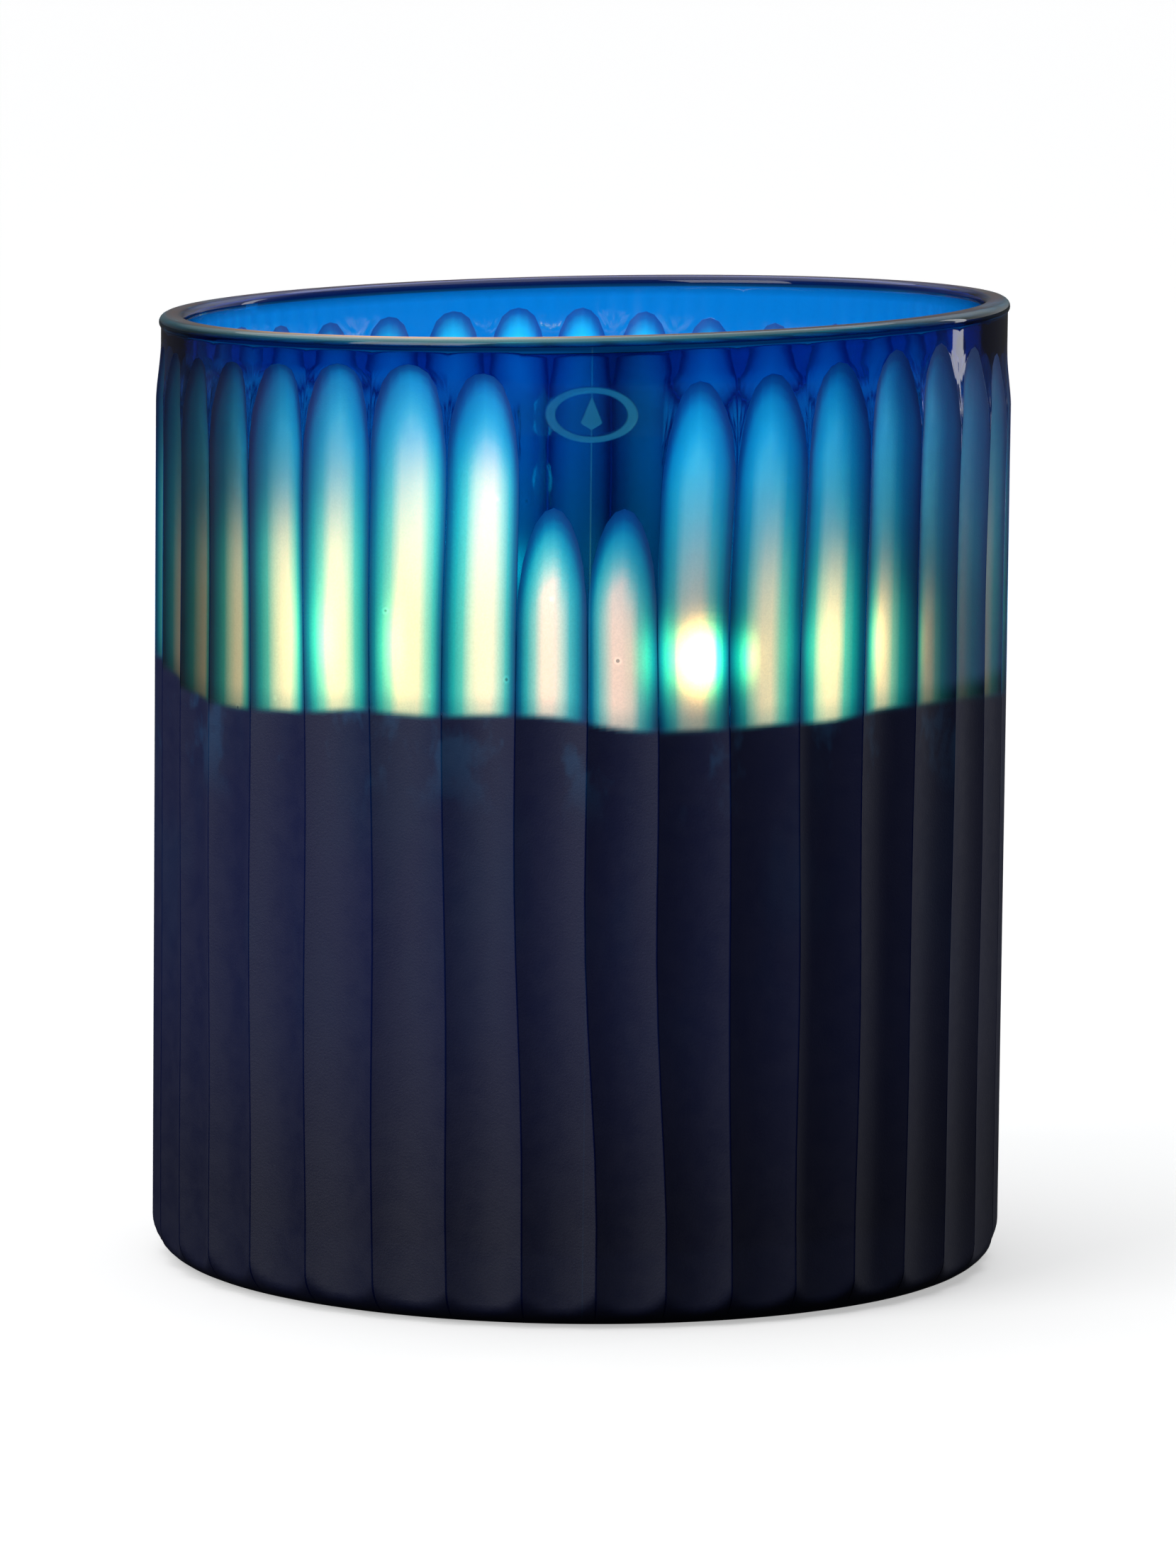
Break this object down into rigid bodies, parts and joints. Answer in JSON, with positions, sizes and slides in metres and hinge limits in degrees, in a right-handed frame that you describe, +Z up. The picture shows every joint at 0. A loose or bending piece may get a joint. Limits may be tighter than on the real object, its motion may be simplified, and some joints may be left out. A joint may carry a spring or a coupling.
{
  "type": "multi-wick candle",
  "caption": "Wide lit candle poured in a straight-sided blue glass vessel with vertical cut flutes, frosted cuts, a polished band under the rim and a rounded foot.",
  "frame": {"origin": "centre of the underside", "axes": "+Z up, along the vessel's axis; the plain panel above the two short flutes faces -Y"},
  "size_m": [0.1606, 0.1606, 0.183],
  "materials": {
    "blue_glass": "gloss",
    "wax": "satin",
    "liquid_wax": "gloss",
    "wick_cotton": "matte",
    "tab_steel": "satin",
    "glue": "satin"
  },
  "bodies": {
    "root": {"glass_vessel": "blue_glass", "wax_fill": "wax", "wick_1": "wick_cotton", "wick_2": "wick_cotton", "wick_3": "wick_cotton", "wick_4": "wick_cotton", "wick_tab_1": "tab_steel", "wick_tab_2": "tab_steel", "wick_tab_3": "tab_steel", "wick_tab_4": "tab_steel", "glue_dot_1": "glue", "glue_dot_2": "glue", "glue_dot_3": "glue", "glue_dot_4": "glue", "melt_pool_1": "liquid_wax", "melt_pool_2": "liquid_wax", "melt_pool_3": "liquid_wax", "melt_pool_4": "liquid_wax"}
  },
  "joints": []
}
